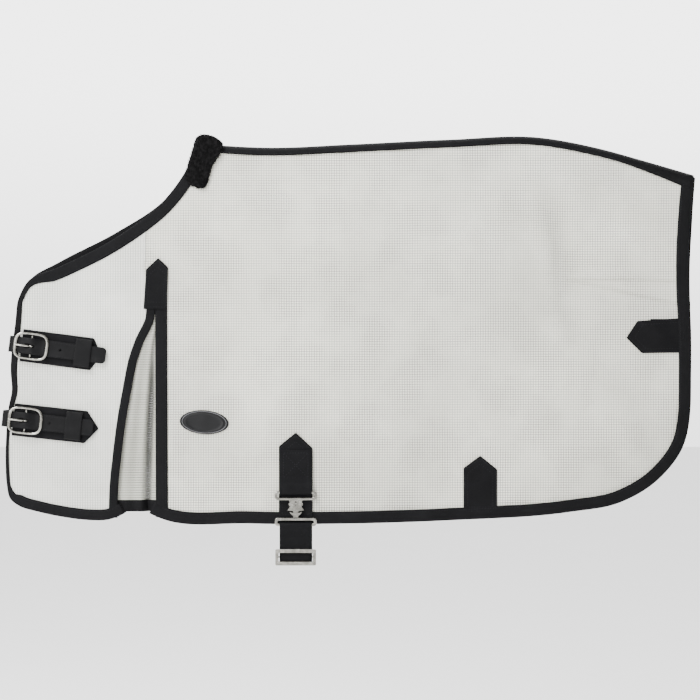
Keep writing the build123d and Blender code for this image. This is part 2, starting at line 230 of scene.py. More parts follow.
class Link:
    # an output socket in a material's tree; arithmetic on it adds Math nodes
    def __init__(self, tree, socket):
        self.tree, self.socket = tree, socket

    def math(self, operation, *others, first=False):
        values = [*others, self] if first else [self, *others]
        return node(self.tree, "ShaderNodeMath", {"operation": operation}, dict(enumerate(values)))

    def __add__(self, other): return self.math("ADD", other)
    def __sub__(self, other): return self.math("SUBTRACT", other)
    def __rsub__(self, other): return self.math("SUBTRACT", other, first=True)
    def __mul__(self, other): return self.math("MULTIPLY", other)
    def __rmul__(self, other): return self.math("MULTIPLY", other)
    def __truediv__(self, other): return self.math("DIVIDE", other)
    def __pow__(self, other): return self.math("POWER", other)


def node(tree, kind, settings=None, inputs=None, output=0):
    # one node: its settings first, then a value or a link for each named or numbered socket
    made = tree.nodes.new(kind)
    for key, value in (settings or {}).items():
        setattr(made, key, value)
    for key, value in (inputs or {}).items():
        socket = made.inputs[key]
        if isinstance(value, Link):
            tree.links.new(value.socket, socket)
        else:
            socket.default_value = value
    return Link(tree, made.outputs[output])


def colourMix(tree, factor, a, b):
    made = tree.nodes.new("ShaderNodeMix")
    made.data_type = "RGBA"
    for socket, value in zip((made.inputs[0], made.inputs[6], made.inputs[7]), (factor, a, b)):
        if isinstance(value, Link):
            tree.links.new(value.socket, socket)
        else:
            socket.default_value = value if isinstance(value, float) else (*value, 1)
    return Link(tree, made.outputs[2])


def newMaterial(name):
    material = bpy.data.materials.new(name)
    material.use_nodes = True
    return material, material.node_tree


def finish(material, height=None, strength=0.3, distance=0.0003, **sockets):
    # sets the shader's sockets, and the bump that its height gives
    tree = material.node_tree
    shader = tree.nodes["Principled BSDF"]
    if height is not None:
        sockets["Normal"] = node(tree, "ShaderNodeBump", None,
                                 {"Strength": strength, "Distance": distance, "Height": height})
    for key, value in sockets.items():
        socket = shader.inputs[key.replace("_", " ")]
        if isinstance(value, Link):
            tree.links.new(value.socket, socket)
        else:
            socket.default_value = (*value, 1) if isinstance(value, tuple) else value
    return material


def axesOf(tree, source="Object"):
    # the object's own coordinates, or the strap's UV map, and its x, y and z
    if source == "cloth":
        vector = node(tree, "ShaderNodeUVMap", {"uv_map": "cloth"})
    else:
        vector = node(tree, "ShaderNodeTexCoord", None, None, "Object")
    return vector, [node(tree, "ShaderNodeSeparateXYZ", None, {0: vector}, k) for k in range(3)]


def noiseOf(tree, vector, scale, detail=3.0, roughness=0.55):
    return node(tree, "ShaderNodeTexNoise", None,
                {"Vector": vector, "Scale": scale, "Detail": detail, "Roughness": roughness})


def ramp(tree, value, low, high, toLow=0.0, toHigh=1.0):
    return node(tree, "ShaderNodeMapRange", {"interpolation_type": "SMOOTHSTEP"},
                {0: value, 1: low, 2: high, 3: toLow, 4: toHigh})


def crossing(value, spacing):
    # 0 on a yarn's centre line and 1 midway between two yarns
    return node(value.tree, "ShaderNodeMath", {"operation": "PINGPONG"}, {0: value, 1: spacing / 2}) / (spacing / 2)


def openMesh(name, colour, pitch, yarn, grid, lines, rib=0.0, shade=0.0):
    # coated yarns crossing at right angles, with the holes between them clear, and a wider grid of open lines,
    # whose colour is darkened as painted shade seen through them; lines gives how dark the grid's upright and level
    # lines are
    material, tree = newMaterial(name)
    vector, (x, y, z) = axesOf(tree)
    drift = noiseOf(tree, vector, 9.0, 2.0)
    wander = (drift - 0.5) * (pitch * 0.8)
    # the halves lie one behind the other, so the pattern slips sideways with depth and their holes don't line up
    slip = y * 0.075
    x, z = x + slip, z + slip
    warp, weft = crossing(x + wander, pitch), crossing(z + wander, pitch)
    overWarp = ramp(tree, warp, yarn - 0.1, yarn + 0.1, 1.0, 0.0)
    overWeft = ramp(tree, weft, yarn - 0.1, yarn + 0.1, 1.0, 0.0)
    solid = overWarp.math("MAXIMUM", overWeft)
    roundness = (1 - (warp / yarn) ** 2).math("MAXIMUM", (1 - (weft / yarn) ** 2) * 0.85)
    knots = overWarp * overWeft
    patchy = ramp(tree, noiseOf(tree, vector, 16.0, 2.0), 0.35, 0.65, 0.55, 1.0)
    upright = ramp(tree, crossing(x + wander * 0.7, grid), 0.62, 0.92) * lines[0]
    level = ramp(tree, crossing(z + wander * 0.7, grid), 0.62, 0.92) * lines[1]
    openLine = upright.math("MAXIMUM", level) * patchy
    soil = noiseOf(tree, vector, 5.0, 4.0)
    fine = noiseOf(tree, vector, 700.0, 2.0)
    light = tuple(min(1.0, c * 1.05) for c in colour)
    dark = tuple(c * 0.86 for c in colour)
    tone = colourMix(tree, ramp(tree, soil, 0.35, 0.68), dark, light)
    tone = colourMix(tree, knots * 0.25 + rib * overWeft, tone, tuple(c * 0.8 for c in colour))
    # painted shade: the open lines are coloured dark for the shadow seen through the open weave
    tone = colourMix(tree, openLine, tone, tuple(c * 0.26 for c in colour))
    if shade:   # painted shade: the cloth is darkened where it lies deep in the pleats
        paintedFoldShade = ramp(tree, y.math("ABSOLUTE"), 0.0025, 0.0108, shade, 0.0)
        tone = colourMix(tree, paintedFoldShade, tone, tuple(c * 0.12 for c in colour))
    return finish(material, height=roundness + fine * 0.15, strength=0.5, distance=0.0004,
                  Base_Color=tone, Roughness=ramp(tree, fine, 0.3, 0.7, 0.62, 0.78),
                  Alpha=(solid * 0.6 + 0.4) * (1 - openLine * 0.5), Specular_IOR_Level=0.22)


def wovenTape(name, colour, rib, pick, worn=0.25):
    # ribs along the strap crossed by fine picks, a little lint, and lighter worn selvedges
    material, tree = newMaterial(name)
    vector, (run, across, _) = axesOf(tree, "cloth")
    objectVector, _ = axesOf(tree)
    ribs, picks = crossing(across, rib), crossing(run + across * 0.35, pick)
    weave = (1 - ribs**2) * 0.6 + (1 - picks**2) * 0.4
    lint = noiseOf(tree, objectVector, 900.0, 2.0)
    fade = noiseOf(tree, objectVector, 28.0, 3.0)
    pale = tuple(c * 2.0 + 0.003 for c in colour)
    tone = colourMix(tree, ramp(tree, fade, 0.35, 0.75) * worn + ramp(tree, lint, 0.62, 0.78) * 0.3, colour, pale)
    tone = colourMix(tree, ribs * 0.35, tone, tuple(c * 0.5 for c in colour))
    return finish(material, height=weave + lint * 0.2, strength=0.55, distance=0.00035,
                  Base_Color=tone, Roughness=ramp(tree, lint, 0.3, 0.7, 0.62, 0.82),
                  Specular_IOR_Level=0.10)


def grainLeather(name, colour):
    # fine pebbled grain with soft creases and a waxed shine
    material, tree = newMaterial(name)
    vector, _ = axesOf(tree)
    pebble = node(tree, "ShaderNodeTexVoronoi", {"feature": "SMOOTH_F1"},
                  {"Vector": vector, "Scale": 1100.0, "Smoothness": 0.6})
    crease = noiseOf(tree, vector, 160.0, 5.0, 0.6)
    rub = noiseOf(tree, vector, 45.0, 3.0)
    tone = colourMix(tree, ramp(tree, rub, 0.45, 0.75) * 0.5, colour, tuple(c * 2.0 + 0.003 for c in colour))
    return finish(material, height=pebble * 0.6 + crease * 0.5, strength=0.35, distance=0.0003,
                  Base_Color=tone, Roughness=ramp(tree, rub, 0.3, 0.7, 0.42, 0.58), Specular_IOR_Level=0.12)


def nickelPlate(name):
    # bright plate with hairline scratches and duller patches
    material, tree = newMaterial(name)
    vector, (x, y, z) = axesOf(tree)
    stretched = node(tree, "ShaderNodeMapping", None, {"Vector": vector, "Scale": (90.0, 900.0, 1500.0)})
    hair = noiseOf(tree, stretched, 1.0, 3.0, 0.6)
    patch = noiseOf(tree, vector, 120.0, 4.0)
    tone = colourMix(tree, ramp(tree, patch, 0.35, 0.7), (0.25, 0.245, 0.22), (0.42, 0.41, 0.375))
    rough = ramp(tree, hair, 0.3, 0.7, 0.17, 0.30) + ramp(tree, patch, 0.5, 0.8, 0.0, 0.1)
    return finish(material, height=hair + patch * 0.5, strength=0.08, distance=0.0002,
                  Base_Color=tone, Metallic=1.0, Roughness=rough)


def pileWool(name, colour):
    # matt dyed wool: darker roots and brown-black tips
    material, tree = newMaterial(name)
    vector, _ = axesOf(tree)
    lock = noiseOf(tree, vector, 240.0, 3.0)
    hair = noiseOf(tree, vector, 2400.0, 2.0)
    tone = colourMix(tree, ramp(tree, lock, 0.35, 0.7), tuple(c * 0.55 for c in colour),
                     tuple(c * 2.0 + 0.002 for c in colour))
    return finish(material, height=hair + lock, strength=0.7, distance=0.0004, Base_Color=tone,
                  Roughness=ramp(tree, hair, 0.3, 0.7, 0.78, 0.95), Specular_IOR_Level=0.10)


def moulded(name, colour, roughness):
    # soft moulded rubber with a faint orange-peel skin
    material, tree = newMaterial(name)
    vector, _ = axesOf(tree)
    skin = noiseOf(tree, vector, 1500.0, 2.0)
    smear = noiseOf(tree, vector, 60.0, 3.0)
    tone = colourMix(tree, ramp(tree, smear, 0.4, 0.75) * 0.5, colour, tuple(c * 1.6 + 0.002 for c in colour))
    return finish(material, height=skin, strength=0.2, distance=0.0002, Base_Color=tone, Specular_IOR_Level=0.25,
                  Roughness=ramp(tree, smear, 0.3, 0.7, roughness - 0.06, roughness + 0.1))


finishes = {
    "body": openMesh("bodyMesh", (0.84, 0.83, 0.735), 1.3 * mm, 0.70, 3.9 * mm, (0.90, 0.90)),
    "chest": openMesh("chestMesh", (0.82, 0.825, 0.765), 1.3 * mm, 0.76, 3.9 * mm, (0.55, 0.30)),
    "gusset": openMesh("gussetMesh", (0.46, 0.46, 0.40), 1.3 * mm, 0.66, 3.9 * mm, (0.15, 1.0), 0.1, 0.95),
    "tape": wovenTape("bindingTape", (0.0034, 0.0034, 0.0040), rib=1.1 * mm, pick=0.9 * mm),
    "webbing": wovenTape("strapWebbing", (0.0028, 0.0028, 0.0034), rib=1.7 * mm, pick=1.1 * mm, worn=0.35),
    "leather": grainLeather("strapLeather", (0.0024, 0.0024, 0.0028)),
    "nickel": nickelPlate("nickel"),
    "fleece": pileWool("fleeceWool", (0.0026, 0.0024, 0.0026)),
    "badge": moulded("badgeRubber", (0.0026, 0.0026, 0.0032), 0.45),
    "badgeRim": moulded("badgeRim", (0.10, 0.10, 0.105), 0.4),
    "thread": wovenTape("thread", (0.014, 0.014, 0.016), rib=0.4 * mm, pick=0.5 * mm),
}


def dress(piece, finishName, body="sheet", nodes=()):
    # gives a piece its material, its slot, the body it rides on and the CAD nodes it stands for
    piece.data.materials.clear()
    piece.data.materials.append(finishes[finishName])
    if body:
        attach(piece, body)
    if nodes:
        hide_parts(*nodes)
    return piece


# Edges of one half, in millimetres, as they run round it
outline = {
    "spine": [(-236, 3), (-124, -3), (0, 2), (155, 9.5), (291, 13), (388, -4.5), (450, -21.5), (534, -46)],
    "rear": [(529, -400), (529, -307), (525, -195), (528, -110), (534, -46)],
    "hem": [(-311, -571), (-296, -578), (-155, -587), (0, -587), (155, -582), (341, -569), (417, -555), (480, -517),
            (516, -470), (529, -400)],
    "slitRear": [(-302.5, -235), (-302, -400), (-301, -577)],
    "slitFront": [(-302.5, -235), (-304, -271), (-321, -309), (-329, -332), (-338.5, -379), (-347, -427),
                  (-354, -482), (-359, -534), (-360, -578)],
    "chestHem": [(-349, -571), (-376, -581.5), (-400, -582), (-447, -576.5), (-483, -569), (-517, -558),
                 (-529, -548)],
    "front": [(-529, -548), (-532.5, -526), (-534, -495), (-533, -450), (-528.5, -402), (-524, -383), (-526, -352),
              (-522, -300), (-518, -271), (-516, -245)],
    "neck": [(-516, -245), (-499, -208), (-456, -183), (-361, -133), (-290, -84), (-250, -31), (-236, 3)],
}
seamX = -0.319
cloth = {"depth": 13.5 * mm, "grid": 3 * mm, "inset": 2 * mm}
tape = {"width": 19 * mm, "thick": 3 * mm, "nose": 1.5 * mm, "stitchIn": 3.2 * mm}

# Soft folds: from, to, half width and height in metres
folds = {
    "dartTop": ((0.345, -0.202), (0.500, -0.203), 0.010, 0.0032),
    "dartLow": ((0.350, -0.240), (0.480, -0.262), 0.014, 0.0040),
    "rump": ((0.286, -0.060), (0.330, -0.290), 0.020, 0.0040),
    "loin": ((0.180, -0.060), (0.330, -0.170), 0.030, 0.0040),
    "flank": ((0.330, -0.300), (0.440, -0.480), 0.030, 0.0045),
    "belly": ((0.060, -0.430), (0.130, -0.555), 0.026, 0.0030),
    "elbow": ((-0.270, -0.330), (-0.180, -0.470), 0.024, 0.0030),
    "shoulder": ((-0.280, -0.140), (-0.150, -0.300), 0.035, 0.0040),
    "breast": ((-0.480, -0.380), (-0.400, -0.430), 0.016, 0.0022),
    "breastLow": ((-0.500, -0.470), (-0.400, -0.540), 0.020, 0.0030),
}
rump = {"fall": 0.0030, "soft": 0.020, "groove": 0.0022, "dart": ((0.338, -0.209), (0.512, -0.247))}
# Where hardware is sewn on, the cloth lies flat: place and reach
flats = [((-0.084, -0.530), 0.085), ((0.202, -0.515), 0.035), ((0.478, -0.295), 0.035),
         ((-0.226, -0.430), 0.050), ((-0.480, -0.315), 0.055), ((-0.415, -0.325), 0.055), ((-0.490, -0.430), 0.055),
         ((-0.425, -0.438), 0.055), ((-0.300, -0.230), 0.040)]


def lie(x, z, side):
    # outward swell of the cloth: long waves and ridges along the folds, faded out at the spine and by hardware
    turn = 0.0 if side == near else 2.1
    swell = 0.0024 * np.sin(x * 17 + z * 9 + turn) + 0.0014
    swell = swell + 0.0009 * np.sin(x * 37 - z * 21 + 1.3 + turn + 1.8 * np.sin(z * 11 + x * 5))
    swell = swell + 0.0004 * np.sin(x * 83 + z * 47 + turn + 2.5 * np.sin(z * 13 - x * 7))
    for (ax, az), (bx, bz), wide, high in folds.values():
        d = np.array([bx - ax, bz - az])
        t = ((x - ax) * d[0] + (z - az) * d[1]) / (d @ d)
        off = np.hypot(x - ax - np.clip(t, 0, 1) * d[0], z - az - np.clip(t, 0, 1) * d[1])
        ends = np.clip(1 - np.abs(t - 0.5) * 0.9, 0, 1)
        swell = swell + (high if side == near else high * 0.7) * np.exp(-(off / wide) ** 2) * ends
    breakX = np.interp(-z, [0.03, 0.18, 0.30, 0.50], [0.287, 0.316, 0.335, 0.345])
    swell = swell - rump["fall"] * (1 + np.tanh((x - breakX) / rump["soft"])) * np.exp(-((z + 0.20) / 0.20) ** 2)
    (ax, az), (bx, bz) = rump["dart"]
    t = np.clip((x - ax) / (bx - ax), 0, 1)
    offDart = np.abs(z - az - (bz - az) * t) + np.maximum(ax - x, 0)
    swell = swell - rump["groove"] * np.exp(-(offDart / 0.0035) ** 2)
    for (cx, cz), reach in flats:
        swell = swell * (1 - np.exp(-((x - cx) ** 2 + (z - cz) ** 2) / reach**2))
    spine = np.interp(x, [-0.236, 0.0, 0.291, 0.534], [0.003, 0.002, 0.013, -0.046])
    belowSpine = np.clip((spine - z - 0.02) / 0.09, 0, 1)
    foot = np.clip((z + 0.615) / 0.09, 0.35, 1)
    return swell * belowSpine**2 * (3 - 2 * belowSpine) * foot


def place(flat, depth, side):
    # points given as (x, z), laid at a depth outside the middle plane and moved with the cloth's swell
    x, z = flat[..., 0], flat[..., 1]
    return np.stack([x, side * (depth + lie(x, z, side)), z], axis=-1)


def edge(name, side, count):
    # one edge line in metres; the near neck hangs a little lower than the far one, and the far rear shows past
    p = np.array(outline[name], float) * mm
    if name == "neck":
        dip = np.array([0, 0.3, 1, 1, 0.35, 0, 0]) * mm
        p = p + dip[:, None] * (np.array([4.0, -7.0]) if side == near else np.array([-0.5, 1.0]))
    if side == far and name == "hem":
        p[2:9, 1] += 5 * mm * np.array([0.7, 1, 1, 1, 1, 0.7, 0.3])
    if side == far and name == "rear":
        p[:, 0] += mm * np.array([3.5, 4.0, 5.0, 6.5, 5.5])
    return lineThrough(p, count)


def chained(*lines):
    whole = [lines[0]]
    for line in lines[1:]:
        whole.append(line[1:])
    return np.concatenate(whole)


def coons(top, bottom, left, right, nu, nv):
    # a grid stretched between four edges: the two ruled surfaces less the bilinear one
    top, bottom, left, right = (spaced(e, n) for e, n in ((top, nu), (bottom, nu), (left, nv), (right, nv)))
    u, v = np.linspace(0, 1, nu)[:, None, None], np.linspace(0, 1, nv)[None, :, None]
    ruled = (1 - v) * top[:, None] + v * bottom[:, None] + (1 - u) * left[None] + u * right[None]
    return ruled - ((1 - u) * (1 - v) * top[0] + u * (1 - v) * top[-1] + (1 - u) * v * bottom[0]
                    + u * v * bottom[-1])


def inward(line, turn=1.0):
    # in-plane normal, 90 degrees clockwise from the direction of travel when turn is 1
    along = alongOf(line)
    return np.stack([along[:, 1], -along[:, 0]], axis=1) * turn


def setIn(line, amount, turn=1.0):
    return line + inward(line, turn) * amount


def areaOf(grid):
    a = np.linalg.norm(np.cross(np.diff(grid, axis=0)[:, :-1], np.diff(grid, axis=1)[:-1]), axis=2)
    return float(a.sum())


def clothPanel(name, top, bottom, left, right, side, depth, finishName, nodes):
    nu, nv = (int(max(lengthOf(a), lengthOf(b)) / cloth["grid"]) for a, b in ((top, bottom), (left, right)))
    flat = coons(top, bottom, left, right, nu, nv)
    grid = place(flat, depth, side)
    piece = surface(name, grid, flat, flip=side == far)
    dress(piece, finishName, "sheet", nodes)
    size = flat.reshape(-1, 2).max(axis=0) - flat.reshape(-1, 2).min(axis=0)
    area = areaOf(np.concatenate([flat, flat[..., :1] * 0], axis=2))


def buildHalf(side):
    who = sideName[side]
    neckLine = setIn(edge("neck", side, 160), cloth["inset"])
    split = int(np.searchsorted(neckLine[:, 0], seamX))
    neckLow, neckHigh = neckLine[:split + 1], neckLine[split:]
    joint = neckLine[split]
    seam = lineThrough([joint, (seamX, -0.200)], 30)
    toSlit = lineThrough([(seamX, -0.200), tuple(edge("slitRear", side, 3)[0])], 8)
    spine = setIn(edge("spine", side, 220), 10.5 * mm)
    rear = edge("rear", side, 110)
    rear = setIn(rear[::-1], cloth["inset"])
    hem = setIn(edge("hem", side, 260), cloth["inset"], -1)
    slitRear = setIn(edge("slitRear", side, 80), cloth["inset"], -1)
    slitFront = setIn(edge("slitFront", side, 80), cloth["inset"])
    front = setIn(edge("front", side, 80), cloth["inset"])
    chestHem = setIn(edge("chestHem", side, 60), cloth["inset"])
    front[0] = chestHem[-1] = (front[0] + chestHem[-1]) / 2
    front[-1] = neckLine[0] = neckLow[0] = (front[-1] + neckLine[0]) / 2
    rear = rear[rear[:, 1] < spine[-1, 1]]
    spine[-1] = rear[0] = (rear[0, 0], spine[-1, 1])
    hem[-1] = rear[-1] = (hem[-1] + rear[-1]) / 2
    # the hems are cut off where the slit's edges meet them
    hem = hem[hem[:, 0] > slitRear[-1, 0]]
    chestHem = chestHem[chestHem[:, 0] < slitFront[-1, 0]]
    slitRear, slitFront = slitRear[slitRear[:, 1] > hem[0, 1]], slitFront[slitFront[:, 1] > chestHem[0, 1]]
    hem[0] = slitRear[-1]
    chestHem[0] = slitFront[-1]
    clothPanel(f"{who}_body_cloth", chained(neckHigh, spine[spine[:, 0] > neckHigh[-1, 0] + 0.01]),
               hem, chained(seam, toSlit, slitRear[2:]), rear, side, cloth["depth"], "body",
               [f"{who}_body_panel"])
    clothPanel(f"{who}_chest_cloth", neckLow, chestHem[::-1], front[::-1],
               chained(seam, toSlit, slitFront[2:]), side, cloth["depth"] + 0.3 * mm, "chest",
               [f"{who}_chest_panel"])


for side in (near, far):
    buildHalf(side)


def feltSeam(name, points, side, wide, finishName):
    # a narrow folded seam lying on the cloth
    flat = lineThrough(points, 90)
    across = inward(flat)
    ring = roundedBar(wide, 0.9 * mm, 0.4 * mm)
    spots = flat[:, None] + across[:, None] * ring[None, :, :1]
    deep = cloth["depth"] + 0.45 * mm + ring[None, :, 1] + lie(spots[..., 0], spots[..., 1], side)
    grid = np.stack([spots[..., 0], side * deep, spots[..., 1]], axis=2)
    dress(surface(name, grid, None, wrapV=True, capU=True), finishName)


seams = {"dart": ([(0.338, -0.209), (0.420, -0.227), (0.514, -0.2475)], 3.2 * mm, "body"),
         "dartTop": ([(0.340, -0.2085), (0.420, -0.2080), (0.514, -0.2115)], 2.4 * mm, "body"),
         "shoulder": ([(seamX, -0.122), (seamX, -0.180)], 5.0 * mm, "chest")}
for side in (near, far):
    for name, (points, wide, finishName) in seams.items():
        feltSeam(f"{sideName[side]}_{name}_seam", points, side, wide, finishName)
print("cloth panels made")


stitch = {"step": 4.2 * mm, "length": 3.1 * mm, "width": 0.8 * mm, "high": 0.45 * mm, "sunk": 0.1 * mm}


def stitches(name, line, outward):
    # a row of stitches: each is a low tent of four faces, its ridge halfway along, sunk a little at both ends
    count = max(2, int(lengthOf(line) / stitch["step"]))
    spots = spaced(line, count * 4 + 1)
    mid = spots[2::4]
    along = unit(spots[3::4] - spots[1::4])
    out = np.broadcast_to(outward, mid.shape)
    side = np.cross(along, out)
    half, wide = along * stitch["length"] / 2, side * stitch["width"] / 2
    sunk, ridge = out * stitch["sunk"], out * stitch["high"]
    corners = np.stack([mid - half - sunk, mid + wide, mid + half - sunk, mid - wide, mid + ridge], axis=1)
    base = np.arange(len(mid))[:, None, None] * 5
    faces = (base + np.array([[0, 1, 4], [1, 2, 4], [2, 3, 4], [3, 0, 4]])[None]).reshape(-1, 3)
    mesh = bpy.data.meshes.new(name)
    mesh.from_pydata(corners.reshape(-1, 3).tolist(), [], faces.tolist())
    mesh.uv_layers.new(name="cloth")
    mesh.polygons.foreach_set("use_smooth", np.ones(len(mesh.polygons), bool))
    mesh.update()
    first = mesh.polygons[0].normal
    if first.dot(Vector(out[0])) < 0:
        mesh.flip_normals()
    return linked(name, mesh)


def rowsOf(name, rows):
    # several rows of stitches as one piece
    dress(joined(name, [stitches(f"{name}{k}", line, out) for k, (line, out) in enumerate(rows)]), "thread")


def faceOut(side):
    return np.array([0.0, side, 0.0])


def smoothed(line, rounds=6):
    for _ in range(rounds):
        line = np.concatenate([line[:1], (line[:-2] + 2 * line[1:-1] + line[2:]) / 4, line[-1:]])
    return line


def foldedTape(name, line, turn, side, widths, nodes, proud=0.0):
    # tape folded over the cloth's edge: a flat U with a rounded nose, carried along the edge line,
    # with a slight pucker along it; widths is the tape's visible width at each point
    normal = inward(line, turn)
    half = tape["thick"] / 2 + proud
    nose = np.linspace(np.pi / 2, 3 * np.pi / 2, 7)
    down = [(0.35, 1), (0.7, 1.02), (0.97, 1.0), (1.0, 0.72), (1.0, -0.72), (0.97, -1.0), (0.7, -1.02), (0.35, -1)]
    noseRing = [(tape["nose"] + half * np.cos(a), half * np.sin(a)) for a in nose[::-1]]
    run = runOf(line)
    pucker = 0.12 * mm * np.sin(run * 610) + 0.10 * mm * np.sin(run * 233 + 1.0)
    inAmount = np.stack([np.full(len(line), s) for s, _ in noseRing]
                        + [tape["nose"] + (widths - tape["nose"]) * k for k, _ in down], axis=1)
    depth = np.stack([np.full(len(line), d) for _, d in noseRing] + [d * half + pucker * np.sign(d) for _, d in down],
                     axis=1)
    flat = line[:, None] + normal[:, None] * inAmount[..., None]
    grid = place(flat, 0.0, side)
    grid[..., 1] += side * (cloth["depth"] + depth)
    steps = np.abs(np.diff(inAmount.mean(axis=0))) + np.abs(np.diff(depth.mean(axis=0)))
    face = np.concatenate([[0.0], np.cumsum(steps)])
    uv = np.stack(np.broadcast_arrays(run[:, None], np.append(face, face[-1] + 1.0 * mm)[None]), axis=2)
    dress(surface(name, grid, uv, wrapV=True, capU=True), "tape", "sheet", nodes)
    seam = line + normal * (widths - tape["stitchIn"])[:, None]
    row = place(seam[4:-4], cloth["depth"] + half + 0.15 * mm, side)
    rowsOf(f"{name}_stitches", [(row, faceOut(side))])


def tapesOf(side):
    who = sideName[side]
    chestHem, front, neck = edge("chestHem", side, 60), edge("front", side, 90), edge("neck", side, 140)
    long = smoothed(chained(chestHem, front, neck))
    # the tape turns away from the eye down the chest, so it narrows there
    along = np.array([0, 0.19, 0.225, 0.30, 0.37, 0.44, 0.52, 0.555, 0.61, 1.0])
    wide = np.array([17, 17, 6, 5, 9, 11, 8, 9, 18, 19]) * mm
    share = np.linspace(0, 1, len(long))
    foldedTape(f"{who}_neck_tape", long, 1.0, side, np.interp(share, along, wide),
               [f"{who}_neck_binding", f"{who}_chest_binding"])
    slitFront, slitRear = edge("slitFront", side, 90), edge("slitRear", side, 90)
    width = np.full(90, tape["width"])
    foldedTape(f"{who}_slit_front_tape", slitFront, 1.0, side, width * 0.72, [f"{who}_gusset_front_binding"],
               -0.12 * mm)
    foldedTape(f"{who}_slit_rear_tape", slitRear, -1.0, side, width, [f"{who}_gusset_rear_binding"], -0.18 * mm)
    rear = edge("rear", side, 110)
    rear = rear[rear[:, 1] < -0.049]
    long = smoothed(chained(edge("hem", side, 260), rear))
    foldedTape(f"{who}_hem_tape", long, -1.0, side, np.full(len(long), tape["width"]),
               [f"{who}_hem_binding", f"{who}_rear_binding"], 0.05 * mm)


arch = {"radius": 15.2 * mm, "rise": 10.5 * mm, "thick": 1.6 * mm, "skirt": 3.0 * mm, "dock": 10 * mm}


def skirtDrop(x):
    # the tape is wider over the dock
    return arch["dock"] * np.clip((x - 0.42) / 0.11, 0, 1) ** 1.3


def spineTape():
    # tape over the fold: a half round with short straight skirts, carried along the spine line
    line = lineThrough(np.array(outline["spine"], float) * mm, 230)
    up = -inward(line)
    ang = np.linspace(-np.pi / 2, np.pi / 2, 15)
    rOut, rIn, rise = arch["radius"], arch["radius"] - arch["thick"], arch["rise"]
    low = -rise - arch["skirt"]
    outer = [(-rOut, low)] + [(rOut * np.sin(a), rise * (np.cos(a) - 1)) for a in ang] + [(rOut, low)]
    inner = [(rIn, low)] + [(rIn * np.sin(a), (rise - arch["thick"]) * np.cos(a) - rise) for a in ang[::-1]]
    inner = inner + [(-rIn, low)]
    ring = np.array(outer + inner)
    run = runOf(line)
    pucker = 0.14 * mm * np.sin(run * 540)[:, None] * np.sign(ring[:, 0])[None]
    drop = skirtDrop(line[:, 0])[:, None] * (ring[:, 1] <= low + 1e-6)[None]
    flat = line[:, None] + up[:, None] * (ring[None, :, 1] - drop)[..., None]
    grid = np.stack([flat[..., 0], ring[None, :, 0] + pucker, flat[..., 1]], axis=2)
    face = np.concatenate([[0], np.cumsum(np.linalg.norm(np.diff(ring, axis=0), axis=1)), [0.11]])
    uv = np.stack(np.broadcast_arrays(run[:, None], face[None]), axis=2)
    dress(surface("spine_tape", grid, uv, wrapV=True, capU=True), "tape", "sheet", ["spine_binding"])
    rows = []
    for side in (near, far):
        under = arch["rise"] + arch["skirt"] - tape["stitchIn"] + skirtDrop(line[6:-3, 0])
        seam = line[6:-3] - up[6:-3] * under[:, None]
        row = np.stack([seam[:, 0], np.full(len(seam), side * (arch["radius"] + 0.05 * mm)), seam[:, 1]], axis=1)
        rows.append((row, faceOut(side)))
    rowsOf("spine_tape_stitches", rows)


for side in (near, far):
    tapesOf(side)
spineTape()
print("tapes made")


gusset = {"pleats": 3.0, "deep": 10.0 * mm, "top": -0.262, "foot": -0.5675, "hem": 18 * mm,
          "under": 9 * mm, "depth": 11.7 * mm, "fullness": 1.12}


def gussetDepth(u, v):
    # folds deepen from the top down; the last one, by the rear tape, is the deepest
    fold = np.sin(u * np.pi * gusset["pleats"] + 0.5) ** 2 * 0.22 + 0.95 * np.exp(-((u - 0.72) / 0.085) ** 2)
    free = np.sin(np.pi * np.clip(u, 0, 1)) ** 0.3
    return -gusset["deep"] * fold * free * np.clip(v * 2.2, 0, 1)


def buildGusset(side):
    who = sideName[side]
    nu, nv = 60, 110
    v = np.linspace(0, 1, nv)
    z = gusset["top"] + (gusset["foot"] - gusset["top"]) * v
    leftLine, rightLine = edge("slitFront", side, 120), edge("slitRear", side, 120)
    left = np.interp(-z, -leftLine[:, 1], leftLine[:, 0]) - gusset["under"]
    right = np.interp(-z, -rightLine[:, 1], rightLine[:, 0]) + gusset["under"]
    u = np.linspace(0, 1, nu)[:, None]
    x = left[None] + (right - left)[None] * u
    zz = np.broadcast_to(z[None], x.shape)
    y = gusset["depth"] + gussetDepth(u, v[None]) + lie(x, zz, side) * 0.6
    grid = np.stack([x, side * y, zz], axis=2)
    flat = np.stack([x, zz], axis=2)
    piece = surface(f"{who}_gusset_cloth", grid, flat, flip=side == far)
    dress(piece, "gusset", "sheet", [f"{who}_gusset"])
    # foot tape: follows the folds of the cloth, folded under it
    centre = grid[:, -1].copy()
    centre[:, 2] += gusset["hem"] / 2 - 1 * mm
    foot = ribbon(f"{who}_gusset_foot_tape", centre, (0, 0, 1), gusset["hem"], 2.2 * mm, 1.0 * mm)
    dress(foot, "tape", "sheet", [f"{who}_gusset_hem_binding"])
    row = centre[1:-1] + np.array([0, side * 1.2 * mm, gusset["hem"] / 2 - 3 * mm])
    rowsOf(f"{who}_gusset_foot_stitches", [(row, faceOut(side))])


for side in (near, far):
    buildGusset(side)
print("gussets made")


